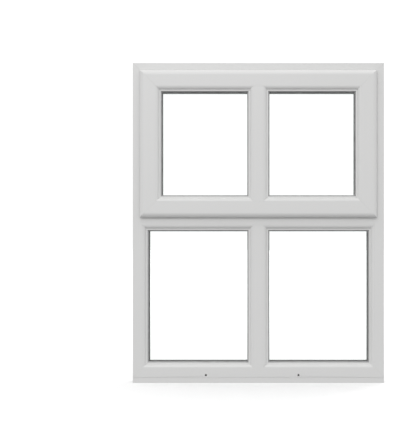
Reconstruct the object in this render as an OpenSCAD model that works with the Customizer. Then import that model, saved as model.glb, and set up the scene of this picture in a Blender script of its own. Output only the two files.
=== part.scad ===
// Top-hung casement window: one sash that opens outwards on friction stays,
// over two fixed lights. +X is right as seen from outside, -Y is outside, and
// +Z is up. The origin is the middle of the underside, at half the frame's depth.

/* [Overall size] */
// Overall width
window_w = 915; // [840:1:1150]
// Overall height, with the base profile
window_h = 1165; // [1060:1:1420]
// Height of the transom's centre line above the underside
transom_z = 593; // [480:1:640]
// Height of the base profile under the sill
base_h = 20; // [15:1:30]
// How far the base profile's face stands back from the frame's face
base_setback = 1; // [0:0.5:6]

/* [Frame and bar profiles] */
// Depth of the outer frame
frame_d = 70; // [68:1:84]
// Width of the frame's face
frame_face = 35; // [33:1:46]
// Width of the face of the transom, the mullion and the glazing bar
bar_face = 35; // [34:1:50]
// Height of the upstand that the glass and the sash close against
upstand_h = 23; // [20:1:26]
// Thickness of the outer walls
wall = 3; // [2.5:0.1:3.6]
// Thickness of the inner webs
web = 2; // [1.5:0.1:2.4]

/* [Sash profile] */
// How far the sash laps over the face of the frame
lap = 8; // [7:0.5:9]
// Gap between the sash and the frame, where the hardware runs
hardware_gap = 12; // [12:0.5:14]
// Gap at each weather seal
seal_gap = 5; // [4:0.5:6]
// Thickness of the sash's lip, front to back
lip_d = 17; // [16:0.5:20]
// Width of the sash's body, hardware gap to glass rebate
sash_face = 38; // [38:1:46]
// Radius of the sash's rounded outer edge
edge_r = 20; // [17:0.5:23]
// How far back the rounded edge starts at the side of the lip
edge_drop = 11; // [9:0.5:13]

/* [Glazing] */
// Thickness of each pane
pane_t = 4; // [4:1:6]
// Width of the cavity between the panes
cavity_d = 20; // [16:1:20]
// Clearance between the edge of the glass and its rebate
glass_gap = 5; // [4:0.5:6]
// Depth of the glazing bead
bead_d = 14; // [13:0.5:16]
// Width of the glazing bead across its face
bead_w = 18.5; // [16:0.5:20]
// How far back the bead's rounded face curves
bead_drop = 9; // [7:0.5:11]
// Width of the flat land beside the gasket
bead_land = 5; // [3:0.5:6]
// Joint between two beads where they meet in a mitre
bead_joint = 0.3; // [0.2:0.1:0.6]
// Thickness of the glazing gaskets
gasket_d = 4; // [3:0.5:5]
// Height of the spacer bar between the panes
spacer_h = 7; // [6:0.5:8]
// Length of each glazing packer
packer_l = 100; // [60:5:120]

/* [Friction stays] */
// Length of the long arm between its end pivots
long_arm = 140; // [120:1:160]
// Length of the short arm between its pivots
short_arm = 50; // [44:1:56]
// Thickness of each arm and link
arm_t = 1.5; // [1.2:0.1:1.6]
// Width of each arm
arm_w = 14; // [12:0.5:16]
// Width of the track
track_w = 18; // [17:0.5:20]
// Radius of the pivot pins
pivot_r = 2.5; // [2:0.1:3]
// Radial running clearance of a pivot
pivot_fit = 0.05; // [0.02:0.01:0.1]
// Radial clearance where a closed loop is left open
loose_fit = 0.3; // [0.2:0.05:0.5]

/* [Lock and handle] */
// How far the drive bar slides
lock_travel = 20; // [16:1:22]
// Distance of each cam from the middle of the rail
cam_x = 150; // [110:1:200]
// Radius of a cam's stem
cam_r = 3.5; // [3:0.1:4]
// Height of the spindle above the edge of the sash's body
backset = 27.5; // [26:0.5:28]
// Side of the square spindle
spindle_w = 7; // [6:0.5:8]
// Length of the handle's base
handle_base_l = 120; // [90:1:150]
// Height of the handle's base
handle_base_h = 27; // [24:0.5:27]
// Length of the lever from its axis to its tip
lever_l = 118; // [90:1:140]
// Radius of the lever's neck
neck_r = 9; // [8:0.1:10]
// Radius of the push button
button_r = 4.5; // [4:0.1:6]
// Travel of the push button
button_travel = 3; // [2:0.5:4]

/* [Holes] */
// Radius of the fixing holes through the jambs
fixing_r = 4.5; // [3.5:0.1:5]
// Distance of the first and last fixing from the frame's corners
fixing_end = 150; // [150:1:220]
// Number of fixings in each jamb
fixing_n = 4; // [3:1:5]
// Radius of the drain holes in the face of the sill
drain_r = 3.75; // [2.5:0.25:5]
// Place of the left drain hole, from the middle
drain_left_x = -191; // [-300:1:-100]
// Place of the right drain hole, from the middle
drain_right_x = 146; // [100:1:300]

/* [Hidden] */
$fn = 48;

// Colours
pvc = "white";
steel = "silver";
stainless = "lightgray";
seal_black = "dimgray";
glass = [0.75, 0.87, 0.9, 0.4];

// Directions round a rectangle, used by mitred() and butted()
BOTTOM = 0;
LEFT = 1;
TOP = 2;
RIGHT = 3;

// Depths
eps = 1;
front_y = -frame_d / 2;
back_y = frame_d / 2;
unit_d = 2 * pane_t + cavity_d;
rebate_d = bead_d + 2 * gasket_d + unit_d;
upstand_y = front_y + rebate_d;
sash_front = front_y - seal_gap - lip_d;
sash_back = upstand_y - seal_gap;
sash_leg_y = sash_front + rebate_d;
glass_y = bead_d + gasket_d;

// Widths and heights
half_w = window_w / 2;
frame_h = window_h - base_h;
rebate_x = half_w - frame_face;
sill_z = base_h + frame_face;
head_z = window_h - frame_face;
transom_low = transom_z - bar_face / 2;
transom_high = transom_z + bar_face / 2;
sash_w = 2 * (rebate_x + lap);
sash_low = transom_high - lap;
sash_top = head_z + lap;
sash_h = sash_top - sash_low;
sash_mid = (sash_low + sash_top) / 2;
sash_lip = lap + hardware_gap;
sash_rebate = sash_lip + sash_face;
sash_sight = sash_rebate + upstand_h;
sash_rebate_x = sash_w / 2 - sash_rebate;

// Lights: left, right, low and high edge of each glass rebate, and its front face
LIGHT_FL = [-rebate_x, -bar_face / 2, sill_z, transom_low, front_y];
LIGHT_FR = [bar_face / 2, rebate_x, sill_z, transom_low, front_y];
LIGHT_SL = [-sash_rebate_x, -bar_face / 2, sash_low + sash_rebate, sash_top - sash_rebate,
            sash_front];
LIGHT_SR = [bar_face / 2, sash_rebate_x, sash_low + sash_rebate, sash_top - sash_rebate,
            sash_front];
OPENING = [-rebate_x, rebate_x, transom_high, head_z, upstand_y];
SASH_RING = [-sash_w / 2, sash_w / 2, sash_low, sash_top, front_y - seal_gap];

// Chambers of the frame and the bars, as depths from the face
drain_chamber = [wall, wall + 15];
steel_chamber = [drain_chamber[1] + web, rebate_d - wall];
rear_chamber = [steel_chamber[1] + web, frame_d - wall];
port_r = 4.6;
port_bore = 2.45;
screw_r = 2.4;
screw_head_r = 4.6;
access_r = 5.2;
port_u = 12;
port_inset = wall + 4.3;
rear_port_y = back_y - port_inset;
front_port_y = front_y + port_inset;

// Bead groove, seal groove and hardware groove
clip_y = 7;
clip_w = 2.4;
clip_d = 1.8;
clip_fit = 0.2;
seal_groove = 3;
seal_u = hardware_gap + 2.5;
seal_floor = seal_u - seal_groove / 2 - wall;
lip_seal_u = 4;
lip_step = 7;
seal_squeeze = 0.15;
groove_w = 16;
groove_d = 3;
channel_w = 12;
channel_d = 7;
sash_steel_u = sash_lip + channel_d + 2;

// Steel reinforcement
steel_t = 1.5;
steel_fit = 0.3;

// Drainage: height of the holes above the chamber's floor, and the slots above
// them in the rebate, set to one side so that no wind blows straight through
drain_clear = 1.75;
drain_shift = 40;
drain_slot = [28, 5];

// Fixings
end_screw_l = 32;
end_head_t = 3;
cut_gap = 2;
fixing_step = (frame_h - 2 * fixing_end) / (fixing_n - 1);
fixing_y = (steel_chamber[0] + steel_chamber[1]) / 2 + front_y + 4;

// Stays, as distances from the jamb's rebate towards the middle of the window.
// All the pivots lie on one upright line when the sash is shut.
stay_y = (sash_back + front_y) / 2 - 2.5;
carrier = long_arm - short_arm;
stay_end = 10;
pivot_d = sash_top - sash_lip - stay_end;
pivot_s = pivot_d - short_arm;
pivot_b = pivot_s - 2 * carrier;
pivot_g = pivot_b + carrier;
pivot_c = pivot_b + long_arm;
track_t = 1.5;
track_side = 1.2;
track_flange = 0.8;
track_lip = 4;
shoe_t = 1.8;
shoe_fit = 0.2;
flange_t = track_t + shoe_t + 2 * shoe_fit;
link_t = flange_t + track_flange + 0.4;
layer_gap = 0.1;
arm_layer = link_t + arm_t + layer_gap;
boss_t = arm_layer + arm_t + 0.3;
stay_bar_t = 2.6;
stay_bar_fit = 0.3;
stay_seat = hardware_gap + groove_d;
head_t = 1.3;
track_low = pivot_b - 16;
track_high = pivot_s + 24;
cap_high = pivot_d + 18;

// Lock, as heights above the edge of the sash's body
body_low = sash_low + sash_lip;
plate_t = 2.5;
bar_fit = 0.25;
bar_t = 3;
bar_w = channel_w - 2 * bar_fit;
bar_reach = cam_x + 40;
cam_head_r = cam_r + 2;
cam_end = 3.2;
spindle_z = body_low + backset;
case_w = 13;
case_l = 78;
case_room = 12;
case_r = spindle_w * 0.75;

// A length of profile from x = 0 to x = length; the section is drawn as
// [depth, distance in from the edge].
module along_x(length) {
    rotate([90, 0, 90]) linear_extrude(length) children();
}

// Turns and places a bottom length so that it forms one side of a rectangle
module on_side(side, ring) {
    across = side % 2 == 0 ? ring[3] - ring[2] : ring[1] - ring[0];
    translate([(ring[0] + ring[1]) / 2, ring[4], (ring[2] + ring[3]) / 2])
        rotate([0, side * 90, 0]) translate([0, 0, -across / 2]) children();
}

function side_length(side, ring) =
    side % 2 == 0 ? ring[1] - ring[0] : ring[3] - ring[2];

// One side of a rectangle, with both ends cut to a mitre
module mitred(side, ring, reach, joint = 0) {
    length = side_length(side, ring);
    half = length / 2;
    on_side(side, ring) intersection() {
        translate([-half, 0, 0]) along_x(length) children();
        rotate([90, 0, 0]) linear_extrude(4 * frame_d, center = true)
            polygon([[joint - half - 4, -4], [half + 4 - joint, -4],
                     [half - reach - joint, reach], [joint + reach - half, reach]]);
    }
}

// One side of a rectangle, cut square, with its ends drawn in
module butted(side, ring, inset) {
    length = side_length(side, ring) - 2 * inset;
    on_side(side, ring) translate([-length / 2, 0, 0]) along_x(length) children();
}

// A continuous ring of one section
module ring_of(ring, reach) {
    for (side = [BOTTOM : RIGHT]) mitred(side, ring, reach) children();
}

// A rectangle given by its low and high corners
module area(low, high) {
    translate(low) square(high - low);
}

// A round bar along X, given by its ends
module rod_x(x0, x1, r) {
    translate([min(x0, x1), 0, 0]) rotate([0, 90, 0]) cylinder(h = abs(x1 - x0), r = r);
}

// A round bar along Y, given by its ends
module rod_y(y0, y1, r) {
    translate([0, max(y0, y1), 0]) rotate([90, 0, 0]) cylinder(h = abs(y1 - y0), r = r);
}

// Sections --------------------------------------------------------------

// Drain, steel and rear chambers between two heights
module chambers(low, high) {
    for (pair = [drain_chamber, steel_chamber, rear_chamber])
        area([front_y + pair[0], low], [front_y + pair[1], high]);
}

// Outer frame: a hollow body with an upstand on the room side
module frame_section() {
    difference() {
        union() {
            area([front_y, 0], [back_y, frame_face]);
            area([upstand_y, 0], [back_y, frame_face + upstand_h]);
        }
        chambers(wall, frame_face - wall);
        area([upstand_y + wall, frame_face], [back_y - wall, frame_face + seal_floor]);
        area([upstand_y - eps, frame_face + seal_u - seal_groove / 2],
             [upstand_y + seal_groove, frame_face + seal_u + seal_groove / 2]);
        area([front_y + clip_y, frame_face - clip_d],
             [front_y + clip_y + clip_w, frame_face + eps]);
    }
}

// A round screw port, run along the whole of a bar
module port(y, u) {
    translate([y, u]) difference() {
        circle(r = port_r);
        circle(r = port_bore);
    }
}

// Transom and mullion: the frame's section, doubled about its middle
module bar_section(front, back, leg_y) {
    half = bar_face / 2;
    steel_end = leg_y - wall;
    difference() {
        union() {
            area([front, -half], [back, half]);
            area([leg_y, -half - upstand_h], [back, half + upstand_h]);
        }
        area([front + drain_chamber[0], wall - half], [front + drain_chamber[1], half - wall]);
        area([front + steel_chamber[0], wall - half], [steel_end, half - wall]);
        area([steel_end + web, wall - half], [back - wall, half - wall]);
        for (flip = [0, 1]) mirror([0, flip]) {
            area([leg_y + wall, half], [back - wall, half + seal_floor]);
            area([front + clip_y, half - clip_d], [front + clip_y + clip_w, half + eps]);
        }
    }
    for (u = [-port_u, port_u]) port(back - port_inset, u);
}

// Transom's groove for the weather seal, on its upper side only
module transom_section() {
    difference() {
        mullion_section();
        area([upstand_y - eps, bar_face / 2 + seal_u - seal_groove / 2],
             [upstand_y + seal_groove, bar_face / 2 + seal_u + seal_groove / 2]);
    }
}

module mullion_section() {
    bar_section(front_y, back_y, upstand_y);
    port(front_port_y, 0);
}

// Sash: a hollow body with a lip outside and a glazing leg inside
module sash_section() {
    lip_back = front_y - seal_gap;
    difference() {
        union() {
            area([sash_front, edge_chord()], [lip_back, sash_rebate]);
            area([sash_front + edge_drop, 0], [lip_back, sash_rebate]);
            intersection() {
                translate([sash_front + edge_r, edge_chord()]) circle(r = edge_r, $fn = 96);
                area([sash_front, 0], [sash_front + edge_drop + eps, edge_chord()]);
            }
            area([lip_back - eps, sash_lip], [sash_back, sash_rebate]);
            area([sash_leg_y, sash_lip], [sash_back, sash_sight]);
        }
        area([sash_front + wall, sash_lip - lip_step], [lip_back - web, sash_rebate - wall]);
        area([lip_back, sash_steel_u], [sash_leg_y - web, sash_rebate - wall]);
        area([sash_leg_y, sash_steel_u], [sash_back - wall, sash_rebate - wall]);
        area([sash_leg_y + web, sash_rebate], [sash_back - wall, sash_sight - lip_step]);
        area([stay_y - groove_w / 2, sash_lip - eps], [stay_y + groove_w / 2, sash_lip + groove_d]);
        area([stay_y - channel_w / 2, sash_lip - eps],
             [stay_y + channel_w / 2, sash_lip + channel_d]);
        area([lip_back - seal_groove, lip_seal_u - seal_groove / 2],
             [lip_back + eps, lip_seal_u + seal_groove / 2]);
        area([sash_front + clip_y, sash_rebate - clip_d],
             [sash_front + clip_y + clip_w, sash_rebate + eps]);
    }
}

// Width of the rounded edge, where it meets the flat face
function edge_chord() = sqrt(edge_r * edge_r - pow(edge_r - edge_drop, 2));

// Glazing bead: a face that curves back, a flat land, and a clip foot
module bead_section() {
    curve_w = bead_w - bead_land;
    curve_r = (curve_w * curve_w + bead_drop * bead_drop) / (2 * bead_drop);
    area([bead_drop, 0], [bead_d, bead_w]);
    intersection() {
        translate([curve_r, 0]) circle(r = curve_r, $fn = 96);
        area([0, 0], [bead_drop, curve_w]);
    }
    area([clip_y + clip_fit, clip_fit - clip_d], [clip_y + clip_w - clip_fit, 0]);
}

// Outer gasket, with a rounded nose, between the bead and the pane
module outer_gasket_section() {
    nose = gasket_d - 1;
    low = bead_w - bead_land - 1;
    area([bead_d, low], [glass_y, upstand_h - nose]);
    area([bead_d + nose, low], [glass_y, upstand_h]);
    intersection() {
        translate([bead_d + nose, upstand_h - nose]) circle(r = nose);
        area([bead_d, low], [glass_y, upstand_h]);
    }
}

// Inner gasket, between the pane and the upstand
module inner_gasket_section() {
    area([rebate_d - gasket_d, glass_gap + 1], [rebate_d, upstand_h]);
}

// Bubble seal: a hollow bulb on a stem that fills the groove
module bubble_section(u) {
    r = (seal_gap - seal_squeeze) / 2;
    difference() {
        union() {
            translate([-r, u]) circle(r = r);
            area([-eps, u - 0.9], [seal_groove - 0.3, u + 0.9]);
        }
        translate([-r, u]) circle(r = r - 1);
    }
}

// Steel box that fills a chamber
module steel_section(low, high) {
    fit = [steel_fit, steel_fit];
    inner = fit + [steel_t, steel_t];
    difference() {
        area(low + fit, high - fit);
        area(low + inner, high - inner);
    }
}

// Outer frame -------------------------------------------------------------

FRAME_RING = [-half_w, half_w, base_h, window_h, 0];

module frame_length(side) {
    mitred(side, FRAME_RING, frame_face + upstand_h) frame_section();
}

// Screws that hold the end of a bar: from the outside of the frame, the heads
// bear on the wall next to the bar. Drawn along +X, with the bar's end face at x = 0.
module end_screw(y, u, start, length) {
    translate([0, y, u]) {
        rod_x(-start, length, screw_r);
        rod_x(-start - end_head_t, -start, screw_head_r);
    }
}

// Clearance for one end screw, with an access hole for its head
module end_screw_hole(y, u, start) {
    translate([0, y, u]) {
        rod_x(-start - 1, eps, port_bore);
        rod_x(-frame_face - eps, -start, access_r);
    }
}

// The screws of one bar end, as [depth, offset] pairs
REAR_PORTS = [[rear_port_y, -port_u], [rear_port_y, port_u]];
FRONT_PORT = [front_port_y, 0];

// Places what is drawn for a bar's end at x = 0, at either jamb or the sill
module at_jamb(sign, z) {
    mirror([sign > 0 ? 1 : 0, 0, 0]) translate([-rebate_x, 0, z]) children();
}

module at_sill() {
    translate([0, 0, sill_z]) rotate([0, -90, 0]) children();
}

module bar_end_holes() {
    for (p = REAR_PORTS) {
        end_screw_hole(p[0], p[1], wall);
        translate([0, p[0], p[1]]) rod_x(-eps, upstand_h + eps, port_bore);
    }
    end_screw_hole(FRONT_PORT[0], FRONT_PORT[1], wall);
}

module bar_end_screws() {
    for (p = REAR_PORTS) end_screw(p[0], p[1], wall, upstand_h + end_screw_l);
    end_screw(FRONT_PORT[0], FRONT_PORT[1], wall, end_screw_l);
}

// Fixing holes through a jamb and its reinforcement
module fixing_holes() {
    for (i = [0 : fixing_n - 1])
        translate([0, fixing_y, base_h + fixing_end + i * fixing_step])
            rod_x(-half_w - eps, half_w + eps, fixing_r);
}

module frame_head() {
    color(pvc) frame_length(TOP);
}

module frame_sill() {
    color(pvc) difference() {
        frame_length(BOTTOM);
        for (x = [drain_left_x, drain_right_x])
            translate([x, 0, base_h + wall + drain_r + drain_clear])
                rod_y(front_y - eps, front_y + wall + eps, drain_r);
        for (x = [drain_left_x, drain_right_x])
            translate([x + drain_shift, front_y + wall + 8, sill_z - wall - eps])
                cube([drain_slot[0], drain_slot[1], wall + 2 * eps]);
        at_sill() bar_end_holes();
    }
}

// Groove for the weather seal, where it turns the corners of the opening
module seal_corners() {
    ring_of(OPENING, frame_face) area([-eps, seal_u - seal_groove / 2],
                                      [seal_groove, seal_u + seal_groove / 2]);
}

module frame_jamb(side, sign) {
    color(pvc) difference() {
        frame_length(side);
        seal_corners();
        fixing_holes();
        track_screw_holes();
        at_jamb(sign, transom_z) bar_end_holes();
    }
}

// Cuts a bar's room side back to the tips of the upstands it meets
module scribed(length) {
    difference() {
        translate([-length / 2, 0, 0]) along_x(length) children();
        for (s = [0, 1]) mirror([s, 0, 0])
            translate([length / 2 - upstand_h, upstand_y, -bar_face / 2 - 2 * upstand_h])
                cube([2 * upstand_h, frame_d, bar_face + 4 * upstand_h]);
    }
}

module transom() {
    color(pvc) difference() {
        translate([0, 0, transom_z]) scribed(2 * rebate_x) transom_section();
        // Way in for the screw at the top of the mullion
        translate([0, front_port_y, transom_low - eps]) cylinder(h = wall + 2 * eps, r = port_bore);
        translate([0, front_port_y, transom_low + wall])
            cylinder(h = bar_face, r = access_r);
        keep_screws(keep_screw_r + pivot_fit);
    }
}

module mullion() {
    height = transom_low - sill_z;
    color(pvc) translate([0, 0, sill_z + height / 2]) rotate([0, 90, 0])
        scribed(height) mullion_section();
}

// Hollow profile that the frame stands on
module base_profile() {
    y0 = front_y + base_setback;
    third = (back_y - y0 - 2 * wall - 2 * web) / 3;
    color(pvc) translate([-half_w, 0, 0]) along_x(window_w) difference() {
        area([y0, 0], [back_y, base_h]);
        for (i = [0 : 2])
            translate([y0 + wall + i * (third + web), wall])
                square([third, base_h - 2 * wall]);
    }
}

module frame_steel() {
    low = [front_y + steel_chamber[0], wall];
    high = [front_y + steel_chamber[1], frame_face - wall];
    color(steel) difference() {
        for (side = [BOTTOM : RIGHT])
            butted(side, FRAME_RING, frame_face + cut_gap) steel_section(low, high);
        fixing_holes();
        track_screw_holes();
    }
}

module bar_steel() {
    low = [front_y + steel_chamber[0], wall - bar_face / 2];
    high = [upstand_y - wall, bar_face / 2 - wall];
    height = transom_low - sill_z - cut_gap;
    color(steel) {
        difference() {
            translate([cut_gap / 2 - rebate_x, 0, transom_z]) along_x(2 * rebate_x - cut_gap)
                steel_section(low, high);
            keep_screws(keep_screw_r + pivot_fit);
        }
        translate([0, 0, transom_low - cut_gap / 2]) rotate([0, 90, 0]) along_x(height)
            steel_section(low, high);
    }
}

module frame_seal() {
    color(seal_black) ring_of(OPENING, frame_face) bubble_section(seal_u);
}

module frame_screws() {
    color(steel) {
        at_jamb(-1, transom_z) bar_end_screws();
        at_jamb(1, transom_z) bar_end_screws();
        at_sill() bar_end_screws();
        translate([0, 0, transom_low]) rotate([0, 90, 0])
            end_screw(FRONT_PORT[0], FRONT_PORT[1], wall, end_screw_l);
        track_screws(track_screw_r);
        keep_screws(keep_screw_r);
    }
}

// Glazing -----------------------------------------------------------------

module beads(light) {
    color(pvc) for (side = [BOTTOM : RIGHT])
        mitred(side, light, bead_w, bead_joint / 2) bead_section();
}

// A slab that fills a light, drawn in from its rebate, between two depths
module slab(light, inset, y0, y1) {
    translate([light[0] + inset, light[4] + y0, light[2] + inset])
        cube([light[1] - light[0] - 2 * inset, y1 - y0, light[3] - light[2] - 2 * inset]);
}

module outer_pane(light) {
    color(glass) slab(light, glass_gap, glass_y, glass_y + pane_t);
}

module inner_pane(light) {
    color(glass) slab(light, glass_gap, glass_y + pane_t + cavity_d, glass_y + unit_d);
}

// Spacer frame, set in from the edge of the glass by the edge sealant
sealant_h = 5;

module spacer(light) {
    inset = glass_gap + sealant_h;
    y0 = glass_y + pane_t;
    color("gray") difference() {
        slab(light, inset, y0, y0 + cavity_d);
        slab(light, inset + spacer_h, y0 - eps, y0 + cavity_d + eps);
    }
}

module outer_gasket(light) {
    color(seal_black) ring_of(light, upstand_h) outer_gasket_section();
}

module inner_gasket(light) {
    color(seal_black) ring_of(light, upstand_h) inner_gasket_section();
}

// Packers under and over the unit, at its quarter points
module packers(light) {
    span = light[1] - light[0];
    color("steelblue") for (x = [light[0] + span / 4, light[1] - span / 4])
        for (z = [light[2], light[3] - glass_gap])
            translate([x - packer_l / 2, light[4] + glass_y, z])
                cube([packer_l, unit_d, glass_gap]);
}

// Sash --------------------------------------------------------------------

SASH_OUTLINE = [-sash_w / 2, sash_w / 2, sash_low, sash_top, 0];

module sash_length(side) {
    mitred(side, SASH_OUTLINE, sash_sight) sash_section();
}

BAR_HEIGHT = sash_h - 2 * sash_rebate;
sash_port_y = sash_back - port_inset;

// Screws through a rail into the ports of the glazing bar, drawn for the
// bottom end, with the rebate at z = 0
module bar_screws() {
    for (x = [-port_u, port_u]) translate([x, sash_port_y, 0]) {
        translate([0, 0, -wall]) cylinder(h = wall + upstand_h + end_screw_l, r = screw_r);
        translate([0, 0, -wall - end_head_t]) cylinder(h = end_head_t, r = screw_head_r);
    }
}

module bar_screw_holes() {
    for (x = [-port_u, port_u]) translate([x, sash_port_y, 0]) {
        translate([0, 0, -wall - eps])
            cylinder(h = wall + upstand_h + 2 * eps, r = port_bore);
        translate([0, 0, -sash_face - eps]) cylinder(h = sash_face + eps - wall, r = access_r);
    }
}

module at_sash_rail(flip) {
    translate([0, 0, sash_mid]) mirror([0, 0, flip]) translate([0, 0, -BAR_HEIGHT / 2])
        children();
}

module sash_rail_top() {
    color(pvc) difference() {
        sash_length(TOP);
        at_sash_rail(1) bar_screw_holes();
    }
}

// The bottom rail is routed for the lock's case, its spindle and its screws
module sash_rail_bottom() {
    color(pvc) difference() {
        sash_length(BOTTOM);
        at_sash_rail(0) bar_screw_holes();
        translate([-case_l / 2 - 0.5, stay_y - case_w / 2 - 0.5, body_low + groove_d])
            cube([case_l + 1, case_w + 1, sash_face - groove_d - wall]);
        translate([0, 0, spindle_z]) rod_y(stay_y, sash_back + eps, case_r + 1.5);
        handle_screw_places() rod_y(sash_back - wall - eps, sash_back + eps, port_bore);
    }
}

module sash_stile(side) {
    color(pvc) difference() {
        sash_length(side);
        stay_screws(stay_screw_r + pivot_fit);
    }
}

module glazing_bar() {
    reach = bar_face / 2 + upstand_h + eps;
    color(pvc) difference() {
        translate([0, 0, sash_mid]) rotate([0, 90, 0]) translate([-BAR_HEIGHT / 2, 0, 0])
            along_x(BAR_HEIGHT) bar_section(sash_front, sash_back, sash_leg_y);
        for (flip = [0, 1]) at_sash_rail(flip)
            translate([-reach, sash_leg_y, -eps]) cube([2 * reach, frame_d, upstand_h + eps]);
    }
}

module sash_steel() {
    low = [front_y - seal_gap, sash_steel_u];
    high = [sash_leg_y - web, sash_rebate - wall];
    color(steel) difference() {
        for (side = [BOTTOM : RIGHT])
            butted(side, SASH_OUTLINE, sash_rebate + cut_gap) steel_section(low, high);
        translate([-case_l / 2 - case_room, -frame_d, sash_low])
            cube([case_l + 2 * case_room, 2 * frame_d, sash_rebate]);
        stay_screws(stay_screw_r + pivot_fit);
    }
}

module sash_seal() {
    color(seal_black) ring_of(SASH_RING, sash_lip) mirror([1, 0]) bubble_section(lip_seal_u);
}

module sash_screws() {
    color(steel) {
        for (flip = [0, 1]) at_sash_rail(flip) bar_screws();
        handle_screw_places() {
            rod_y(sash_back - wall - 6, sash_back + 4, screw_r);
            rod_y(sash_back + 4, sash_back + 6, screw_head_r - 0.4);
        }
        stay_screws(stay_screw_r);
    }
}

// Friction stays ------------------------------------------------------------

// Draws a stay for the left jamb with x as the distance from the jamb's rebate,
// and mirrors it for the right one
module at_stay(sign) {
    mirror([sign > 0 ? 1 : 0, 0, 0]) translate([-rebate_x, stay_y, 0]) children();
}

// A flat strip with round ends
module strip(x0, thick, width, z0, z1) {
    translate([x0, -width / 2, z0]) cube([thick, width, z1 - z0]);
    for (z = [z0, z1]) translate([0, 0, z]) rod_x(x0, x0 + thick, width / 2);
}

// A pivot hole or a pin at height z
module pivot(x0, x1, z, r) {
    translate([0, 0, z]) rod_x(x0, x1, r);
}

TRACK_SCREWS = [track_low + 40, pivot_g + 10, track_high - 3.5];
STAY_SCREWS = [pivot_c + 14, pivot_d - 32, pivot_d + 13];
stay_screw_r = 1.9;
track_screw_r = 1.7;
cap_l = cap_high - track_high;
block_l = 8;

// Flush screws through the base of each track, and the clearance for them
module track_screws(r) {
    for (sign = [-1, 1]) at_stay(sign) for (z = TRACK_SCREWS) pivot(-8, track_t, z, r);
}

module track_screw_holes() {
    track_screws(track_screw_r + pivot_fit);
}

// Flush screws through each sash bar into the stile and its reinforcement
module stay_screws(r) {
    for (sign = [-1, 1]) at_stay(sign) for (z = STAY_SCREWS)
        pivot(stay_seat - stay_bar_t, hardware_gap + channel_d + 6, z, r);
}

// Track: a shallow channel whose turned-in edges hold the shoe, with the fixed
// pivot near its lower end and a plain end block at the top
module stay_track(sign) {
    opening = track_w / 2 - track_lip;
    inside = track_w / 2 - track_side;
    color(stainless) at_stay(sign) difference() {
        union() {
            translate([0, 0, track_low]) linear_extrude(track_high - track_low) difference() {
                translate([0, -track_w / 2])
                    square([flange_t + track_flange, track_w]);
                translate([track_t, -inside]) square([flange_t - track_t, 2 * inside]);
                translate([track_t, -opening]) square([flange_t, 2 * opening]);
            }
            pivot(track_t - 0.5, arm_layer - layer_gap, pivot_b, opening);
            pivot(track_t, arm_layer + arm_t + 0.1, pivot_b, pivot_r);
            pivot(arm_layer + arm_t + 0.1, arm_layer + arm_t + head_t, pivot_b, pivot_r + 2);
            translate([0, -track_w / 2, track_high]) cube([track_t, track_w, cap_l]);
            translate([0, -track_w / 2, cap_high - block_l]) cube([flange_t, track_w, block_l]);
        }
        for (z = TRACK_SCREWS) pivot(-eps, track_t + eps, z, track_screw_r + pivot_fit);
    }
}

module stay_long_arm(sign) {
    open = sign > 0 ? loose_fit : pivot_fit;
    color(stainless) at_stay(sign) difference() {
        union() {
            strip(arm_layer, arm_t, arm_w, pivot_b, pivot_c);
            pivot(link_t, arm_layer + arm_t, pivot_g, pivot_r);
            pivot(arm_layer + arm_t, arm_layer + arm_t + head_t, pivot_g, pivot_r + 2);
        }
        pivot(arm_layer - eps, boss_t, pivot_b, pivot_r + pivot_fit);
        pivot(arm_layer - eps, boss_t, pivot_c, pivot_r + open);
    }
}

module stay_link(sign) {
    color(stainless) at_stay(sign) difference() {
        strip(link_t, arm_t, arm_w - 2, pivot_g, pivot_s);
        pivot(link_t - eps, arm_layer, pivot_g, pivot_r + pivot_fit);
        pivot(link_t - eps, arm_layer, pivot_s, pivot_r + loose_fit);
    }
}

module stay_short_arm(sign) {
    color(stainless) at_stay(sign) difference() {
        strip(arm_layer, arm_t, arm_w, pivot_s, pivot_d);
        for (z = [pivot_s, pivot_d])
            pivot(arm_layer - eps, boss_t, z, pivot_r + pivot_fit);
    }
}

// Shoe: a block that slides in the track, with the pin of the lower joint
module stay_shoe(sign) {
    block = track_w - 2 * track_side - 2 * shoe_fit;
    neck = track_w - 2 * track_lip - 2 * shoe_fit;
    color("goldenrod") at_stay(sign) {
        translate([track_t + shoe_fit, -block / 2, pivot_s - 14]) cube([shoe_t, block, 28]);
        translate([track_t + shoe_fit, -neck / 2, pivot_s - 10])
            cube([link_t - layer_gap - track_t - shoe_fit, neck, 20]);
        pivot(track_t + shoe_fit, arm_layer + arm_t + 0.1, pivot_s, pivot_r);
        pivot(arm_layer + arm_t + 0.1, arm_layer + arm_t + head_t, pivot_s, pivot_r + 2);
    }
}

// Sash bar: a plate seated in the sash's groove, with two stand-off pivots
module stay_bar(sign) {
    x0 = stay_seat - stay_bar_t;
    color(stainless) at_stay(sign) difference() {
        union() {
            strip(x0, stay_bar_t, groove_w - 2 * stay_bar_fit, pivot_c - 6, pivot_d + 12);
            for (z = [pivot_c, pivot_d]) {
                pivot(boss_t, x0 + eps, z, pivot_r + 3);
                pivot(arm_layer, boss_t + eps, z, pivot_r);
            }
        }
        for (z = STAY_SCREWS) pivot(x0 - eps, stay_seat + eps, z, stay_screw_r + pivot_fit);
    }
}

// Lock ------------------------------------------------------------------------

CAMS = [-cam_x, cam_x];

KEEP_SCREWS = [-9, lock_travel + 9];
keep_screw_r = 2;
keep_t = 2;

// Flush screws through each keep into the transom and its reinforcement
module keep_screws(r) {
    for (x = CAMS, dx = KEEP_SCREWS)
        translate([x + dx, stay_y + 4, transom_high - 8]) cylinder(h = 8 + keep_t, r = r);
}

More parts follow.
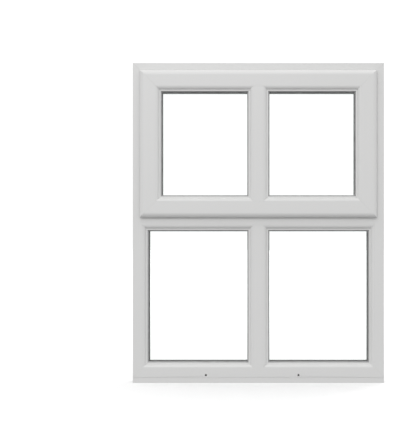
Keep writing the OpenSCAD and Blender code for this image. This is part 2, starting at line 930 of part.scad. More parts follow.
// Keep: a plate on the transom, with a wall that the cam slides behind
module lock_keep(x) {
    behind = cam_head_r + 0.8;
    width = 2 * behind + 3;
    color(stainless) translate([x, stay_y, transom_high]) difference() {
        union() {
            translate([-14, -behind - 3, 0]) cube([lock_travel + 28, width, keep_t]);
            translate([lock_travel - 6, -behind - 3, 0]) cube([18, 3, cam_end + 4]);
        }
        for (dx = KEEP_SCREWS) translate([dx, 4, -eps])
            cylinder(h = keep_t + 2 * eps, r = keep_screw_r + pivot_fit);
    }
}

module lock_keeps() {
    for (x = CAMS) lock_keep(x);
}

// Faceplate, with a slot for each cam to slide along
module lock_faceplate() {
    slot = cam_r + 0.3;
    color(stainless) translate([0, stay_y, body_low + groove_d - plate_t]) difference() {
        translate([-bar_reach - 25, -groove_w / 2 + 0.2, 0])
            cube([2 * bar_reach + 50, groove_w - 0.4, plate_t]);
        for (x = CAMS) {
            translate([x, -slot, -eps]) cube([lock_travel, 2 * slot, plate_t + 2 * eps]);
            for (end = [0, lock_travel]) translate([x + end, 0, -eps])
                cylinder(h = plate_t + 2 * eps, r = slot);
        }
    }
}

// Drive bar, with a mushroom cam riveted through each slot
module lock_bar() {
    z0 = body_low + groove_d + bar_fit;
    cam_low = transom_high + cam_end;
    color(stainless) translate([0, stay_y, 0]) {
        translate([-bar_reach, -bar_w / 2, z0]) cube([2 * bar_reach, bar_w, bar_t]);
        for (x = CAMS) translate([x, 0, cam_low]) {
            cylinder(h = z0 - cam_low + eps, r = cam_r);
            cylinder(h = 2.5, r = cam_head_r);
        }
    }
}

// Gearbox case above the drive bar, bored for the spindle
module lock_gearbox() {
    low = body_low + groove_d + bar_fit + bar_t + bar_fit;
    color(steel) difference() {
        translate([-case_l / 2, stay_y - case_w / 2, low])
            cube([case_l, case_w, body_low + sash_face - wall - low - 1]);
        translate([0, 0, spindle_z]) rod_y(stay_y - case_w, stay_y + case_w, case_r);
    }
}

// Handle ------------------------------------------------------------------------

plate_y = 8;
handle_screw_x = 21.5;
lever_y = sash_back + 34;
lever_t = 11;
lever_w = 20;
lever_head_r = 10.5;

module handle_screw_places() {
    for (x = [-handle_screw_x, handle_screw_x]) translate([x, 0, spindle_z]) children();
}

// Base: a rounded plate with a collar that the lever's neck turns in
module handle_base() {
    h = handle_base_h;
    color(pvc) difference() {
        union() {
            translate([0, sash_back, spindle_z]) rotate([90, 0, 0]) mirror([0, 0, 1])
                linear_extrude(plate_y) {
                    square([handle_base_l - h, h], center = true);
                    for (x = [-1, 1]) translate([x * (handle_base_l - h) / 2, 0])
                        circle(d = h);
                }
            translate([0, 0, spindle_z]) rod_y(sash_back, sash_back + plate_y + 6, neck_r + 3.5);
        }
        translate([0, 0, spindle_z])
            rod_y(sash_back + 3, sash_back + plate_y + 7, neck_r + pivot_fit);
        translate([0, 0, spindle_z]) rod_y(sash_back - eps, sash_back + 4, case_r + 0.5);
        handle_screw_places() {
            rod_y(sash_back - eps, sash_back + plate_y + eps, screw_r + pivot_fit);
            rod_y(sash_back + 4, sash_back + plate_y + eps, screw_head_r);
        }
    }
}

// Lever, upright when the lock is released
module handle_lever() {
    socket = spindle_w + 0.1;
    color(pvc) translate([0, 0, spindle_z]) difference() {
        union() {
            rod_y(sash_back + 3.3, lever_y + 1, neck_r);
            rod_y(lever_y, lever_y + lever_t, lever_head_r);
            hull() {
                translate([0, 0, 6]) rod_y(lever_y, lever_y + lever_t - 1, lever_w / 2 - 1, $fn = 32);
                translate([0, 0, lever_l - 9])
                    rod_y(lever_y + 2, lever_y + lever_t - 1, lever_w / 2 - 3, $fn = 32);
            }
        }
        rod_y(lever_y + 1, lever_y + lever_t + eps, button_r + pivot_fit);
        translate([-socket / 2, sash_back, -socket / 2])
            cube([socket, lever_y - 1 - sash_back, socket]);
    }
}

module handle_spindle() {
    y0 = stay_y - case_w / 2;
    color(steel) translate([-spindle_w / 2, y0, spindle_z - spindle_w / 2])
        cube([spindle_w, lever_y - 2 - y0, spindle_w]);
}

module lock_button() {
    y0 = lever_y + 1 + button_travel + 0.5;
    color("gray") translate([0, 0, spindle_z]) rod_y(y0, lever_y + lever_t + 4, button_r);
}

frame_head();
frame_sill();
frame_jamb(LEFT, -1);  // frame_jamb_left
frame_jamb(RIGHT, 1);  // frame_jamb_right
transom();
mullion();
base_profile();
frame_steel();
bar_steel();
frame_seal();
frame_screws();
beads(LIGHT_FL);  // fixed_beads_left
beads(LIGHT_FR);  // fixed_beads_right
outer_pane(LIGHT_FL);  // fixed_outer_pane_left
outer_pane(LIGHT_FR);  // fixed_outer_pane_right
inner_pane(LIGHT_FL);  // fixed_inner_pane_left
inner_pane(LIGHT_FR);  // fixed_inner_pane_right
union() {  // fixed_spacers
    spacer(LIGHT_FL);
    spacer(LIGHT_FR);
}
union() {  // fixed_outer_gaskets
    outer_gasket(LIGHT_FL);
    outer_gasket(LIGHT_FR);
}
union() {  // fixed_inner_gaskets
    inner_gasket(LIGHT_FL);
    inner_gasket(LIGHT_FR);
}
union() {  // fixed_packers
    packers(LIGHT_FL);
    packers(LIGHT_FR);
}
lock_keeps();
stay_track(-1);  // stay_track_left
stay_track(1);  // stay_track_right
sash_rail_top();
sash_rail_bottom();
sash_stile(LEFT);  // sash_stile_left
sash_stile(RIGHT);  // sash_stile_right
glazing_bar();
sash_steel();
sash_seal();
sash_screws();
beads(LIGHT_SL);  // sash_beads_left
beads(LIGHT_SR);  // sash_beads_right
outer_pane(LIGHT_SL);  // sash_outer_pane_left
outer_pane(LIGHT_SR);  // sash_outer_pane_right
inner_pane(LIGHT_SL);  // sash_inner_pane_left
inner_pane(LIGHT_SR);  // sash_inner_pane_right
union() {  // sash_spacers
    spacer(LIGHT_SL);
    spacer(LIGHT_SR);
}
union() {  // sash_outer_gaskets
    outer_gasket(LIGHT_SL);
    outer_gasket(LIGHT_SR);
}
union() {  // sash_inner_gaskets
    inner_gasket(LIGHT_SL);
    inner_gasket(LIGHT_SR);
}
union() {  // sash_packers
    packers(LIGHT_SL);
    packers(LIGHT_SR);
}
stay_bar(-1);  // stay_bar_left
stay_bar(1);  // stay_bar_right
stay_long_arm(-1);  // stay_long_arm_left
stay_long_arm(1);  // stay_long_arm_right
stay_link(-1);  // stay_link_left
stay_link(1);  // stay_link_right
stay_short_arm(-1);  // stay_short_arm_left
stay_short_arm(1);  // stay_short_arm_right
stay_shoe(-1);  // stay_shoe_left
stay_shoe(1);  // stay_shoe_right
lock_faceplate();
lock_gearbox();
lock_bar();
handle_base();
handle_lever();
handle_spindle();
lock_button();
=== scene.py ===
# %% [markdown]
# # A white top-hung casement window
# The window is a frame of welded plastic profiles round four panes. The upper half is
# one sash that swings outwards on two friction stays, and the lower half is fixed.
# Every part with a size that matters comes from the imported model, so this lesson loads
# that first.

# %% Load the imported model
import math

import bmesh
import bpy
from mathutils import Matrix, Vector


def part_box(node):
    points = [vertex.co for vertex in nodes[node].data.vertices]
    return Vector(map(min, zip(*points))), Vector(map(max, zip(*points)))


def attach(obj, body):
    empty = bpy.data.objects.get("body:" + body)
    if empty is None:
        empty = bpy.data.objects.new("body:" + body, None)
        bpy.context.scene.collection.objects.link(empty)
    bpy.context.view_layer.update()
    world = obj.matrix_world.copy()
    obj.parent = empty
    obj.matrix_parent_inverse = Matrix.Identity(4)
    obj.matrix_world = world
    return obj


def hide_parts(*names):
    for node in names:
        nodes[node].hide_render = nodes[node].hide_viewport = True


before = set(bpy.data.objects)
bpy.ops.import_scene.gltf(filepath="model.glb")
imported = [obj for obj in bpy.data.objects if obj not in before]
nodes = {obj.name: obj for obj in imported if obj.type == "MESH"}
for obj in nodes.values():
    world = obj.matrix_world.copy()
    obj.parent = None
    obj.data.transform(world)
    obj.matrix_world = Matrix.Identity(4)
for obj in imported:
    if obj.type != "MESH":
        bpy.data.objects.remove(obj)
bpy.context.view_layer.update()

# %% [markdown]
# ## Where things are
# Sizes are worked out from the boxes of pieces: the head gives the frame's face and
# width, the base its foot, and the jambs and the sash's rails give where the mitres lie.

# %% Measure the pieces that the others line up with
jamb_low, jamb_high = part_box("frame_jamb_left")
head_low, head_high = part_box("frame_head")
base_low, base_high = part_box("base_profile")
rail_low, rail_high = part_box("sash_rail_bottom")
top_rail_low, top_rail_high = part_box("sash_rail_top")
window_w = head_high[0] - head_low[0]
window_h = head_high[2] - base_low[2]
frame_face_y = head_low[1]
middle_z = base_low[2] + window_h / 2
print(f"window {window_w:.3f} m wide and {window_h:.3f} m high")

# %% [markdown]
# ## The camera
# A window is drawn and sold in elevation, square on, so that its upright edges stay
# upright. A tilted camera would lean them together. A level camera with a little shift
# keeps them straight, which is what an architect's shift lens does. The height of the
# picture where the window stands gives the focal length.

# %% Place the camera
picture_aspect = 413 / 442
window_share = 0.724
camera_distance = 3.9
camera_height = 0.53
window_right_of_middle = 0.1173
window_below_middle = 0.0045
picture_h = window_h / window_share

camera_data = bpy.data.cameras.new("camera")
camera_data.sensor_fit = "VERTICAL"
camera_data.sensor_height = 36
camera_data.lens = camera_data.sensor_height * camera_distance / picture_h
camera_data.shift_x = -window_right_of_middle
camera_data.shift_y = (middle_z - camera_height) / picture_h + window_below_middle
camera_data.clip_end = 200
camera = bpy.data.objects.new("camera", camera_data)
camera.location = (0, frame_face_y - camera_distance, camera_height)
camera.rotation_euler = (math.radians(90), 0, 0)
bpy.context.scene.collection.objects.link(camera)
bpy.context.scene.camera = camera
print(f"lens {camera_data.lens:.1f} mm, picture {picture_h * picture_aspect:.2f} m wide")

# %% [markdown]
# ## Node helpers
# Every finish below is a small node tree. A few helpers keep them short: they add a
# node with its plain values, join sockets, do sums, and start or place a shader node
# group with named sockets.

# %% Helpers that build node trees
def add(tree, kind, **values):
    """A new node; a value whose name is a socket's goes on that socket."""
    node = tree.nodes.new(kind)
    for name, value in values.items():
        socket = node.inputs.get(name.replace("_", " "))
        if socket is not None:
            socket.default_value = value
        else:
            setattr(node, name, value)
    return node


def wire(tree, start, end):
    """Joins an output to an input."""
    tree.links.new(start, end)


def math_node(tree, operation, first, second=0.0):
    """One sum; each side is a number or an output."""
    node = add(tree, "ShaderNodeMath", operation=operation)
    for slot, value in enumerate((first, second)):
        if isinstance(value, (int, float)):
            node.inputs[slot].default_value = value
        else:
            wire(tree, value, node.inputs[slot])
    return node.outputs[0]


def new_group(name, inputs, outputs):
    """A shader node group with named sockets, and its two end nodes."""
    tree = bpy.data.node_groups.new(name, "ShaderNodeTree")
    for label, kind, value in inputs:
        socket = tree.interface.new_socket(label, in_out="INPUT", socket_type=kind)
        socket.default_value = value
    for label, kind in outputs:
        tree.interface.new_socket(label, in_out="OUTPUT", socket_type=kind)
    return tree, tree.nodes.new("NodeGroupInput"), tree.nodes.new("NodeGroupOutput")


def place_group(tree, group, **values):
    """Puts a group into a material, with this material's own values."""
    node = add(tree, "ShaderNodeGroup", node_tree=group)
    for name, value in values.items():
        node.inputs[name.replace("_", " ")].default_value = value
    return node


FLOAT = "NodeSocketFloat"
VECTOR = "NodeSocketVector"

# %% [markdown]
# ## Light
# A catalogue studio is a white room: soft light from everywhere, a bigger soft source
# above and to the left, and a floor that is nearly as white as the wall. Curved edges
# that face up catch the top light, and edges that face right or down fall into a
# gentle shade. The sky of the scene gives the soft part. It is brighter above than
# below, and what is seen directly or through the glass is plain white.

# %% Make the white room
world = bpy.data.worlds.new("white room")
bpy.context.scene.world = world
world.use_nodes = True
room = world.node_tree
room.nodes.clear()
sky_above = 1.14
sky_below = 0.18
seen_white = 1.12
direction = add(room, "ShaderNodeTexCoord")
height = add(room, "ShaderNodeSeparateXYZ")
wire(room, direction.outputs["Generated"], height.inputs[0])
softness = add(room, "ShaderNodeMapRange", To_Min=sky_below, To_Max=sky_above)
softness.inputs["From Min"].default_value = -1.0
wire(room, height.outputs["Z"], softness.inputs["Value"])
path = add(room, "ShaderNodeLightPath")
seen = math_node(room, "MAXIMUM", path.outputs["Is Camera Ray"],
                 path.outputs["Is Transmission Ray"])
brightness = add(room, "ShaderNodeMix", data_type="FLOAT")
wire(room, seen, brightness.inputs[0])
wire(room, softness.outputs[0], brightness.inputs[2])
brightness.inputs[3].default_value = seen_white
backdrop = add(room, "ShaderNodeBackground", Color=(1, 1, 1, 1))
wire(room, brightness.outputs[0], backdrop.inputs["Strength"])
room_out = add(room, "ShaderNodeOutputWorld")
wire(room, backdrop.outputs[0], room_out.inputs[0])
print("soft light from", sky_below, "below to", sky_above, "above")


# %% Hang the soft lights
def soft_light(name, place, aim, size, power):
    """A square soft box at a place, turned to a point."""
    data = bpy.data.lights.new(name, "AREA")
    data.shape = "SQUARE"
    data.size = size
    data.energy = power
    lamp = bpy.data.objects.new(name, data)
    lamp.location = place
    lamp.rotation_euler = (Vector(aim) - Vector(place)).to_track_quat("-Z", "Y").to_euler()
    bpy.context.scene.collection.objects.link(lamp)
    return lamp


window_middle = (0, 0, middle_z)
key_place, key_size, key_watts = (-1.2, -5.4, 3.3), 2.4, 60
back_place, back_size, back_watts = (1.6, 2.6, 2.6), 1.8, 34
key_light = soft_light("key light", key_place, window_middle, key_size, key_watts)
soft_light("back light", back_place, window_middle, back_size, back_watts)
print("key light", round(key_light.location.length, 2), "m from the window")

# %% [markdown]
# ## The floor
# The window stands on a pale floor that fades into the white room, with only a faint
# shadow where it meets the base. A floor that shines a little by itself and also takes
# shadow does that: its glow is painted light, and it is weaker near the window, which
# paints part of the shadow round the base. It is kept out of the light that falls on the
# window, so that the undersides stay in shade.

# %% Lay the floor
floor_half = 40
# Painted shadow: the floor glows least near the window, so it is darker round the base.
glow_in_painted_shadow, glow_far = 0.23, 0.7
glow_starts, glow_ends = 0.6, 5.0
floor_white = 0.8


def floor_finish():
    """Nearly white by its own glow, with the shadow of what stands on it, partly real and
    partly painted near the window.
    """
    material = bpy.data.materials.new("floor")
    material.use_nodes = True
    tree = material.node_tree
    tree.nodes.clear()
    glow = add(tree, "ShaderNodeEmission")
    place = add(tree, "ShaderNodeTexCoord")
    away = add(tree, "ShaderNodeVectorMath", operation="LENGTH")
    # Painted shadow: the glow grows with distance from the window and is dimmest round its
    # base.
    spread = add(tree, "ShaderNodeMapRange", To_Min=glow_in_painted_shadow, To_Max=glow_far)
    spread.inputs["From Min"].default_value = glow_starts
    spread.inputs["From Max"].default_value = glow_ends
    wire(tree, place.outputs["Object"], away.inputs[0])
    wire(tree, away.outputs["Value"], spread.inputs["Value"])
    wire(tree, spread.outputs[0], glow.inputs["Strength"])
    matt = add(tree, "ShaderNodeBsdfDiffuse", Color=(floor_white, floor_white, floor_white, 1))
    both = add(tree, "ShaderNodeAddShader")
    out = add(tree, "ShaderNodeOutputMaterial")
    wire(tree, glow.outputs[0], both.inputs[0])
    wire(tree, matt.outputs[0], both.inputs[1])
    wire(tree, both.outputs[0], out.inputs[0])
    return material


floor_mesh = bpy.data.meshes.new("floor")
floor_corners = [(x * floor_half, y * floor_half, 0)
                 for x, y in ((-1, -1), (1, -1), (1, 1), (-1, 1))]
floor_mesh.from_pydata(floor_corners, [], [(0, 1, 2, 3)])
floor = bpy.data.objects.new("floor", floor_mesh)
floor.data.materials.append(floor_finish())
floor.visible_diffuse = False
floor.visible_glossy = False
bpy.context.scene.collection.objects.link(floor)
bpy.context.scene.view_settings.view_transform = "Standard"
print("floor", 2 * floor_half, "m square")

# %% [markdown]
# ## Effects that several finishes share
# Extruded plastic is never a perfect mirror: it has faint lines along its length from
# the die, a fine orange-peel texture, and small changes of gloss. Anything with an
# upward face gathers some dust. Each effect is one node group, placed in a material
# with its own values. They give only tones, masks and heights.

# %% Group: fine grain
def grain_group():
    """Noise at one size, as a tone about 1 and as a height from 0 to 1."""
    tree, start, end = new_group(
        "fine grain",
        [("Scale", FLOAT, 400.0), ("Detail", FLOAT, 3.0), ("Contrast", FLOAT, 0.05)],
        [("Tone", FLOAT), ("Height", FLOAT)])
    place = add(tree, "ShaderNodeTexCoord")
    noise = add(tree, "ShaderNodeTexNoise")
    wire(tree, place.outputs["Object"], noise.inputs["Vector"])
    wire(tree, start.outputs["Scale"], noise.inputs["Scale"])
    wire(tree, start.outputs["Detail"], noise.inputs["Detail"])
    offset = math_node(tree, "SUBTRACT", noise.outputs[0], 0.5)
    change = math_node(tree, "MULTIPLY", offset, start.outputs["Contrast"])
    wire(tree, math_node(tree, "ADD", change, 1.0), end.inputs["Tone"])
    wire(tree, noise.outputs[0], end.inputs["Height"])
    return tree


GRAIN = grain_group()


# %% Group: lines along the length of a profile
def draw_line_group():
    """Streaks that run along one direction, as left by a die or by brushing."""
    tree, start, end = new_group(
        "draw lines",
        [("Stretch", VECTOR, (1.0, 1.0, 1.0)), ("Scale", FLOAT, 300.0),
         ("Contrast", FLOAT, 0.04)],
        [("Tone", FLOAT), ("Height", FLOAT)])
    place = add(tree, "ShaderNodeTexCoord")
    stretched = add(tree, "ShaderNodeVectorMath", operation="MULTIPLY")
    wire(tree, place.outputs["Object"], stretched.inputs[0])
    wire(tree, start.outputs["Stretch"], stretched.inputs[1])
    noise = add(tree, "ShaderNodeTexNoise", Detail=2.0)
    wire(tree, stretched.outputs[0], noise.inputs["Vector"])
    wire(tree, start.outputs["Scale"], noise.inputs["Scale"])
    offset = math_node(tree, "SUBTRACT", noise.outputs[0], 0.5)
    change = math_node(tree, "MULTIPLY", offset, start.outputs["Contrast"])
    wire(tree, math_node(tree, "ADD", change, 1.0), end.inputs["Tone"])
    wire(tree, noise.outputs[0], end.inputs["Height"])
    return tree


DRAW_LINES = draw_line_group()


# %% Group: dust on what faces up
def dust_group():
    """A mask of dust: patchy, and only where the surface faces up."""
    tree, start, end = new_group(
        "settled dust",
        [("Amount", FLOAT, 0.3), ("Patch Scale", FLOAT, 14.0)],
        [("Mask", FLOAT)])
    shape = add(tree, "ShaderNodeNewGeometry")
    up = add(tree, "ShaderNodeSeparateXYZ")
    wire(tree, shape.outputs["Normal"], up.inputs[0])
    facing = add(tree, "ShaderNodeMapRange")
    facing.inputs["From Min"].default_value = 0.35
    wire(tree, up.outputs["Z"], facing.inputs["Value"])
    place = add(tree, "ShaderNodeTexCoord")
    patches = add(tree, "ShaderNodeTexNoise", Detail=5.0)
    wire(tree, place.outputs["Object"], patches.inputs["Vector"])
    wire(tree, start.outputs["Patch Scale"], patches.inputs["Scale"])
    both = math_node(tree, "MULTIPLY", facing.outputs[0], patches.outputs[0])
    wire(tree, math_node(tree, "MULTIPLY", both, start.outputs["Amount"]),
         end.inputs["Mask"])
    return tree


DUST = dust_group()


# %% [markdown]
# At each corner the profiles are cut at 45 degrees and welded with a hot plate. The
# flash is then cleaned off with a knife, which leaves a shallow matt groove along the
# mitre. It lies where the distance in from the side of the rectangle equals the
# distance in from its top or bottom, so a mask can be worked out from the place alone.
# The finish sinks the groove with a bump and darkens its colour a little as painted shade.

# %% Group: cleaned weld along a mitre
def weld_group():
    """A mask of the groove on the mitres of a rectangle centred on x = 0."""
    tree, start, end = new_group(
        "mitre weld",
        [("Half Width", FLOAT, 0.4), ("Low", FLOAT, 0.0), ("High", FLOAT, 1.0),
         ("Reach", FLOAT, 0.06), ("Groove", FLOAT, 0.0012)],
        [("Mask", FLOAT)])
    place = add(tree, "ShaderNodeTexCoord")
    spot = add(tree, "ShaderNodeSeparateXYZ")
    wire(tree, place.outputs["Object"], spot.inputs[0])
    across = math_node(tree, "ABSOLUTE", spot.outputs["X"])
    from_side = math_node(tree, "SUBTRACT", start.outputs["Half Width"], across)
    from_low = math_node(tree, "SUBTRACT", spot.outputs["Z"], start.outputs["Low"])
    from_high = math_node(tree, "SUBTRACT", start.outputs["High"], spot.outputs["Z"])
    from_end = math_node(tree, "MINIMUM", from_low, from_high)
    gap = math_node(tree, "SUBTRACT", from_side, from_end)
    away = math_node(tree, "ABSOLUTE", gap)
    near = math_node(tree, "LESS_THAN", away, start.outputs["Groove"])
    inside = math_node(tree, "LESS_THAN", from_side, start.outputs["Reach"])
    wire(tree, math_node(tree, "MULTIPLY", near, inside), end.inputs["Mask"])
    return tree


WELD = weld_group()
print("groups:", ", ".join(group.name for group in bpy.data.node_groups))


# %% [markdown]
# ## A start for every finish
# Each finish starts from one Principled shader in its own material. Numbers that are
# the same all over go straight on its sockets, and only what changes over the surface
# is wired in.

# %% Start a finish
def new_finish(name, color, **values):
    """A material with its tree, its shader, and plain values on the shader."""
    material = bpy.data.materials.new(name)
    material.use_nodes = True
    tree = material.node_tree
    shader = tree.nodes["Principled BSDF"]
    shader.inputs["Base Color"].default_value = (*color, 1)
    for label, value in values.items():
        shader.inputs[label.replace("_", " ")].default_value = value
    return material, tree, shader


def tinted(tree, color, tones):
    """A colour times each tone in turn; the last output of the chain."""
    result = None
    for tone in tones:
        scale = add(tree, "ShaderNodeVectorMath", operation="SCALE")
        if result is None:
            scale.inputs[0].default_value = color
        else:
            wire(tree, result, scale.inputs[0])
        wire(tree, tone, scale.inputs["Scale"])
        result = scale.outputs[0]
    return result


DUST_COLOR = (0.46, 0.43, 0.38)


def dusted(tree, color, mask):
    """A colour that goes towards dust where the mask says."""
    mix = add(tree, "ShaderNodeMix", data_type="RGBA")
    wire(tree, mask, mix.inputs[0])
    wire(tree, color, mix.inputs[6])
    mix.inputs[7].default_value = (*DUST_COLOR, 1)
    return mix.outputs[2]


def raise_bump(tree, shader, heights, depth):
    """Heights, each with its share, added up and wired to the shader's normal."""
    total = None
    for height, share in heights:
        part = math_node(tree, "MULTIPLY", height, share)
        total = part if total is None else math_node(tree, "ADD", total, part)
    bump = add(tree, "ShaderNodeBump", Strength=1.0, Distance=depth)
    wire(tree, total, bump.inputs["Height"])
    wire(tree, bump.outputs[0], shader.inputs["Normal"])


def varied_roughness(tree, shader, height, low, high):
    """Roughness that follows a height between two values."""
    spread = add(tree, "ShaderNodeMapRange", To_Min=low, To_Max=high)
    wire(tree, height, spread.inputs["Value"])
    wire(tree, spread.outputs[0], shader.inputs["Roughness"])


# %% [markdown]
# ## White plastic profiles
# The frame and sash are unplasticised PVC, white right through, with a satin skin from
# the cooling die. The streaks follow the length of each profile, so lying and standing
# lengths need their own direction, and frame and sash have their mitres in different
# places. The bars have no mitres. One function makes all of these finishes.

# %% White PVC
PVC_WHITE = (0.80, 0.80, 0.795)
ALONG_X = (0.012, 1.0, 1.0)
ALONG_Z = (1.0, 1.0, 0.012)


def pvc_finish(name, direction, ring=None):
    """Satin white PVC: streaks, orange peel, a little dust, and welded mitres whose grooves
    carry painted shade.
    """
    material, tree, shader = new_finish(name, PVC_WHITE, IOR=1.53)
    streaks = place_group(tree, DRAW_LINES, Stretch=direction, Scale=420.0, Contrast=0.02)
    peel = place_group(tree, GRAIN, Scale=900.0, Detail=2.0, Contrast=0.01)
    cloud = place_group(tree, GRAIN, Scale=3.0, Detail=2.0, Contrast=0.03)
    dust = place_group(tree, DUST, Amount=0.16)
    tones = [streaks.outputs["Tone"], peel.outputs["Tone"], cloud.outputs["Tone"]]
    heights = [(streaks.outputs["Height"], 0.6), (peel.outputs["Height"], 0.25)]
    if ring:
        weld = place_group(tree, WELD, Half_Width=ring[0], Low=ring[1], High=ring[2],
                           Reach=ring[3])
        # Painted shade: the groove's colour is darkened a little, standing for shadow in it.
        shade = math_node(tree, "MULTIPLY", weld.outputs["Mask"], -0.014)
        tones.append(math_node(tree, "ADD", shade, 1.0))
        heights.append((weld.outputs["Mask"], -2.0))
    color = tinted(tree, PVC_WHITE, tones)
    wire(tree, dusted(tree, color, dust.outputs["Mask"]), shader.inputs["Base Color"])
    varied_roughness(tree, shader, cloud.outputs["Height"], 0.3, 0.46)
    raise_bump(tree, shader, heights, 0.00006)
    return material


frame_ring = (window_w / 2, base_high[2], head_high[2], jamb_high[0] - jamb_low[0])
sash_ring = (rail_high[0], rail_low[2], top_rail_high[2], rail_high[2] - rail_low[2])
PVC = {
    "frame lying": pvc_finish("frame profile lying", ALONG_X, frame_ring),
    "frame standing": pvc_finish("frame profile standing", ALONG_Z, frame_ring),
    "sash lying": pvc_finish("sash profile lying", ALONG_X, sash_ring),
    "sash standing": pvc_finish("sash profile standing", ALONG_Z, sash_ring),
    "bar lying": pvc_finish("bar profile lying", ALONG_X),
    "bar standing": pvc_finish("bar profile standing", ALONG_Z),
}
print("PVC finishes:", len(PVC))


# %% [markdown]
# ## Edges that catch the light
# No real extrusion has a perfectly sharp corner: the die rounds each by a few tenths of
# a millimetre, and that sliver is what shows as a bright line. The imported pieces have
# sharp corners, so a bevel modifier adds the rounding without changing the piece
# itself. The weld before it joins the corners that the file keeps apart.

# %% Soften the edges of a piece
join_distance = 0.000005
sharp_angle = math.radians(32)
profile_edge, bead_edge = 0.00025, 0.0002
shoe_edge, stay_edge, lock_edge = 0.0003, 0.00015, 0.0002
button_edge, collar_edge = 0.0006, 0.0012


def soften(name, radius):
    """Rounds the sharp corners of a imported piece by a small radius."""
    piece = nodes[name]
    join = piece.modifiers.new("join corners", "WELD")
    join.merge_threshold = join_distance
    bevel = piece.modifiers.new("soft edge", "BEVEL")
    bevel.width = radius
    bevel.segments = 2
    bevel.limit_method = "ANGLE"
    bevel.angle_limit = sharp_angle
    bevel.use_clamp_overlap = False
    bevel.miter_outer = "MITER_ARC"
    flat = piece.modifiers.new("flat faces", "WEIGHTED_NORMAL")
    flat.keep_sharp = False


def finish_piece(name, material, radius=0.0):
    """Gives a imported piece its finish, and softens its edges."""
    slots = nodes[name].data.materials
    slots.clear()
    slots.append(material)
    if radius:
        soften(name, radius)


profile_finishes = {
    "frame_head": "frame lying", "frame_sill": "frame lying",
    "frame_jamb_left": "frame standing", "frame_jamb_right": "frame standing",
    "transom": "bar lying", "mullion": "bar standing", "base_profile": "bar lying",
    "sash_rail_top": "sash lying", "sash_rail_bottom": "sash lying",
    "sash_stile_left": "sash standing", "sash_stile_right": "sash standing",
    "glazing_bar": "bar standing",
}
for name, kind in profile_finishes.items():
    finish_piece(name, PVC[kind], profile_edge)
print("finished", len(profile_finishes), "profiles")

# %% [markdown]
# ## Glazing beads
# The beads that hold the glass are thin extrusions with an ovolo face, snapped into the
# groove round each light. They are the same white as the frame, cut clean at the mitre
# and not welded, and they run both ways, so their streaks have no direction.

# %% Beads
bead_white = pvc_finish("glazing bead", (1.0, 1.0, 1.0))
bead_nodes = [name for name in nodes if "_beads_" in name]
for name in bead_nodes:
    finish_piece(name, bead_white, bead_edge)
print("finished", len(bead_nodes), "sets of beads")


# %% [markdown]
# ## Rubber
# Gaskets and weather seals are extruded rubber: mid grey and matt, with fine pores, a
# patchy bloom and a little dust.

# %% Gaskets and seals
def rubber_finish():
    """Matt extruded rubber, with fine pores and a little bloom."""
    color = (0.42, 0.42, 0.422)
    material, tree, shader = new_finish("rubber", color, IOR=1.5)
    pores = place_group(tree, GRAIN, Scale=2600.0, Detail=2.0, Contrast=0.35)
    bloom = place_group(tree, GRAIN, Scale=60.0, Detail=4.0, Contrast=0.5)
    dust = place_group(tree, DUST, Amount=0.3)
    color_out = tinted(tree, color, [pores.outputs["Tone"], bloom.outputs["Tone"]])
    wire(tree, dusted(tree, color_out, dust.outputs["Mask"]), shader.inputs["Base Color"])
    varied_roughness(tree, shader, bloom.outputs["Height"], 0.6, 0.85)
    raise_bump(tree, shader, [(pores.outputs["Height"], 1.0)], 0.00008)
    return material


rubber = rubber_finish()
rubber_nodes = [name for name in nodes if name.endswith(("_gaskets", "_seal"))]
for name in rubber_nodes:
    finish_piece(name, rubber)
print("finished", len(rubber_nodes), "gaskets and seals")


# %% [markdown]
# ## Glass
# Each light is a sealed unit of two panes. Float glass is clear, with a trace of green
# that shows only where it is thick, at the edges. A real pane is never quite clean, so a
# faint film changes its gloss and tint a little from place to place.

# %% Panes
def glass_finish():
    """Clear float glass with a trace of green and a faint film."""
    color = (0.975, 0.99, 0.983)
    material, tree, shader = new_finish(
        "float glass", color, Metallic=0.0, Transmission_Weight=1.0, Roughness=0.0,
        IOR=1.45)
    wave = place_group(tree, GRAIN, Scale=2.2, Detail=1.0, Contrast=0.006)
    film = place_group(tree, GRAIN, Scale=30.0, Detail=5.0, Contrast=0.004)
    color_out = tinted(tree, color, [wave.outputs["Tone"], film.outputs["Tone"]])
    wire(tree, color_out, shader.inputs["Base Color"])
    varied_roughness(tree, shader, film.outputs["Height"], 0.0, 0.012)
    return material


float_glass = glass_finish()
pane_nodes = [name for name in nodes if "_pane_" in name]
for name in pane_nodes:
    finish_piece(name, float_glass)
print("finished", len(pane_nodes), "panes")


# %% [markdown]
# ## Metals
# The stays, the lock's bar, faceplate and keeps are pressed from stainless strip,
# brushed along their length, with brass shoes. The reinforcement, screws, gearbox and
# spindle are galvanised steel, with the mottled spangle of zinc. The spacer between the
# panes is plain aluminium.

# %% Brushed, galvanised and plain metals
def brushed_finish(name, color, direction, rough=(0.22, 0.4)):
    """Metal strip with brush marks along one direction."""
    material, tree, shader = new_finish(name, color, Metallic=1.0)
    marks = place_group(tree, DRAW_LINES, Stretch=direction, Scale=2200.0, Contrast=0.22)
    smears = place_group(tree, GRAIN, Scale=45.0, Detail=4.0, Contrast=0.2)
    color_out = tinted(tree, color, [marks.outputs["Tone"], smears.outputs["Tone"]])
    wire(tree, color_out, shader.inputs["Base Color"])
    varied_roughness(tree, shader, smears.outputs["Height"], *rough)
    raise_bump(tree, shader, [(marks.outputs["Height"], 1.0)], 0.00002)
    return material


